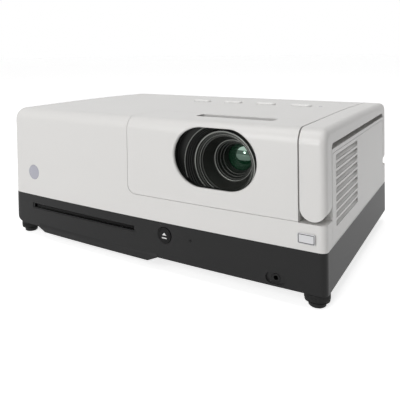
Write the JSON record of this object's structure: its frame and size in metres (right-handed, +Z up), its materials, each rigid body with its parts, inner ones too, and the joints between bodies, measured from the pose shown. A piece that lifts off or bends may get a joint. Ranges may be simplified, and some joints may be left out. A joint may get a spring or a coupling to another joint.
{
  "type": "projector with built-in disc player",
  "caption": "Table-top video projector with a slot-loading disc player in its base, side louvres, adjustable front feet and a fold-out carry handle.",
  "frame": {"origin": "on the table, under the middle of the whole part's width and depth, with the front feet screwed fully in", "axes": "+Z up, -Y out of the lens and the disc slot, +X to the right of someone who looks at the front"},
  "size_m": [0.34, 0.2488, 0.1375],
  "materials": {
    "case_white": "fine matt moulded plastic",
    "base_dark": "satin dark grey moulded plastic",
    "dark_plastic": "matt black moulded plastic",
    "smoke": "polished smoke plastic",
    "clear_glass": "coated optical glass",
    "rubber": "soft rubber",
    "steel": "plain sheet and turned steel",
    "alloy": "cast and turned light alloy",
    "board": "circuit board with its parts",
    "brass": "plated contacts",
    "silver": "satin silver paint",
    "foam": "open filter foam"
  },
  "bodies": {
    "case": {"air_filter": "foam", "badge_plate": "silver", "ballast": "board", "case_screws": "steel", "disc_light": "smoke", "drive_chassis": "steel", "drive_cover": "steel", "exhaust_fan_frame": "dark_plastic", "front_board": "board", "front_fascia": "case_white", "handle_pins": "steel", "headphone_jack": "dark_plastic", "intake_fan_frame": "dark_plastic", "key_board": "board", "lamp_bulb": "clear_glass", "lamp_housing": "steel", "lens_barrel": "alloy", "lens_shroud": "dark_plastic", "lower_case": "base_dark", "main_board": "board", "mains_inlet": "dark_plastic", "mid_frame": "dark_plastic", "optical_engine": "alloy", "pickup_rods": "steel", "power_supply": "board", "rca_sockets": "brass", "rear_feet": "rubber", "rear_panel": "dark_plastic", "sensor_window": "smoke", "side_panel": "case_white", "speakers": "dark_plastic", "spindle_motor": "steel", "status_light": "smoke", "upper_case": "case_white", "vga_socket": "steel"},
    "handle": {"carry_handle": "case_white"},
    "focus_collar": {"focus_ring": "alloy"},
    "focus_group": {"lens_hood": "alloy", "front_lens": "clear_glass"},
    "zoom_collar": {"zoom_ring": "alloy"},
    "zoom_group": {"zoom_cell": "dark_plastic", "zoom_lens": "clear_glass"},
    "eject_key": {"eject_button": "dark_plastic"},
    "power_key": {"power_button": "case_white"},
    "source_key": {"source_button": "case_white"},
    "menu_key": {"menu_button": "case_white"},
    "volume_key": {"volume_button": "case_white"},
    "left_foot": {"left_foot_pad": "dark_plastic"},
    "left_foot_screw": {"left_foot_wheel": "dark_plastic"},
    "right_foot": {"right_foot_pad": "dark_plastic"},
    "right_foot_screw": {"right_foot_wheel": "dark_plastic"},
    "exhaust_rotor": {"exhaust_fan_impeller": "dark_plastic"},
    "intake_rotor": {"intake_fan_impeller": "dark_plastic"},
    "disc_table": {"turntable": "steel"},
    "feed_roller": {"loading_roller": "rubber"},
    "pickup_sled": {"laser_pickup": "dark_plastic"},
    "sled_screw": {"pickup_screw": "steel"}
  },
  "joints": [
    {"name": "handle_fold", "type": "hinge", "parent": "case", "child": "handle", "pos_m": [0.16015, 0, 0.0775], "axis": [0, 1, 0], "range_deg": [0, 90]},
    {"name": "focus_slide", "type": "slide", "parent": "case", "child": "focus_group", "axis": [0, -1, 0], "range_m": [0, 0.003]},
    {"name": "focus_turn", "type": "hinge", "parent": "case", "child": "focus_collar", "pos_m": [0.0815, -0.087, 0.0995], "axis": [0, 1, 0], "range_deg": [0, 60]},
    {"name": "zoom_slide", "type": "slide", "parent": "case", "child": "zoom_group", "axis": [0, 1, 0], "range_m": [0, 0.012]},
    {"name": "zoom_turn", "type": "hinge", "parent": "case", "child": "zoom_collar", "pos_m": [0.0815, -0.08, 0.0995], "axis": [0, 1, 0], "range_deg": [0, 45]},
    {"name": "eject_press", "type": "slide", "parent": "case", "child": "eject_key", "axis": [0, 1, 0], "range_m": [0, 0.001], "stiffness_N_per_m": 250, "springref_m": -0.003},
    {"name": "power_press", "type": "slide", "parent": "case", "child": "power_key", "axis": [0, 0, -1], "range_m": [0, 0.0009], "stiffness_N_per_m": 200, "springref_m": -0.003},
    {"name": "source_press", "type": "slide", "parent": "case", "child": "source_key", "axis": [0, 0, -1], "range_m": [0, 0.0009], "stiffness_N_per_m": 200, "springref_m": -0.003},
    {"name": "menu_press", "type": "slide", "parent": "case", "child": "menu_key", "axis": [0, 0, -1], "range_m": [0, 0.0009], "stiffness_N_per_m": 200, "springref_m": -0.003},
    {"name": "volume_press", "type": "slide", "parent": "case", "child": "volume_key", "axis": [0, 0, -1], "range_m": [0, 0.0009], "stiffness_N_per_m": 200, "springref_m": -0.003},
    {"name": "left_foot_extend", "type": "slide", "parent": "case", "child": "left_foot", "axis": [0, 0, -1], "range_m": [0, 0.01]},
    {"name": "left_foot_turn", "type": "hinge", "parent": "left_foot", "child": "left_foot_screw", "pos_m": [-0.159, -0.107, 0.0085], "axis": [0, 0, -1], "range_deg": [0, 2400]},
    {"name": "right_foot_extend", "type": "slide", "parent": "case", "child": "right_foot", "axis": [0, 0, -1], "range_m": [0, 0.01]},
    {"name": "right_foot_turn", "type": "hinge", "parent": "right_foot", "child": "right_foot_screw", "pos_m": [0.159, -0.107, 0.0085], "axis": [0, 0, -1], "range_deg": [0, 2400]},
    {"name": "exhaust_spin", "type": "hinge", "parent": "case", "child": "exhaust_rotor", "pos_m": [0.155, -0.0558, 0.0858], "axis": [1, 0, 0], "continuous": true},
    {"name": "intake_spin", "type": "hinge", "parent": "case", "child": "intake_rotor", "pos_m": [-0.152, 0.052, 0.0853], "axis": [1, 0, 0], "continuous": true},
    {"name": "disc_spin", "type": "hinge", "parent": "case", "child": "disc_table", "pos_m": [-0.0705, -0.042, 0.03], "axis": [0, 0, 1], "continuous": true},
    {"name": "roller_spin", "type": "hinge", "parent": "case", "child": "feed_roller", "pos_m": [-0.0705, -0.105, 0.028], "axis": [1, 0, 0], "continuous": true},
    {"name": "pickup_slide", "type": "slide", "parent": "case", "child": "pickup_sled", "axis": [0, 1, 0], "range_m": [0, 0.03]},
    {"name": "pickup_screw_turn", "type": "hinge", "parent": "case", "child": "sled_screw", "pos_m": [-0.0385, 0, 0.023], "axis": [0, 1, 0], "continuous": true}
  ],
  "couplings": [
    {"joint": "focus_turn", "follows": "focus_slide", "rad_per_m": 349},
    {"joint": "zoom_turn", "follows": "zoom_slide", "rad_per_m": 65.4},
    {"joint": "left_foot_turn", "follows": "left_foot_extend", "rad_per_m": 4188.7},
    {"joint": "right_foot_turn", "follows": "right_foot_extend", "rad_per_m": 4188.7},
    {"joint": "pickup_screw_turn", "follows": "pickup_slide", "rad_per_m": 2094.4}
  ]
}
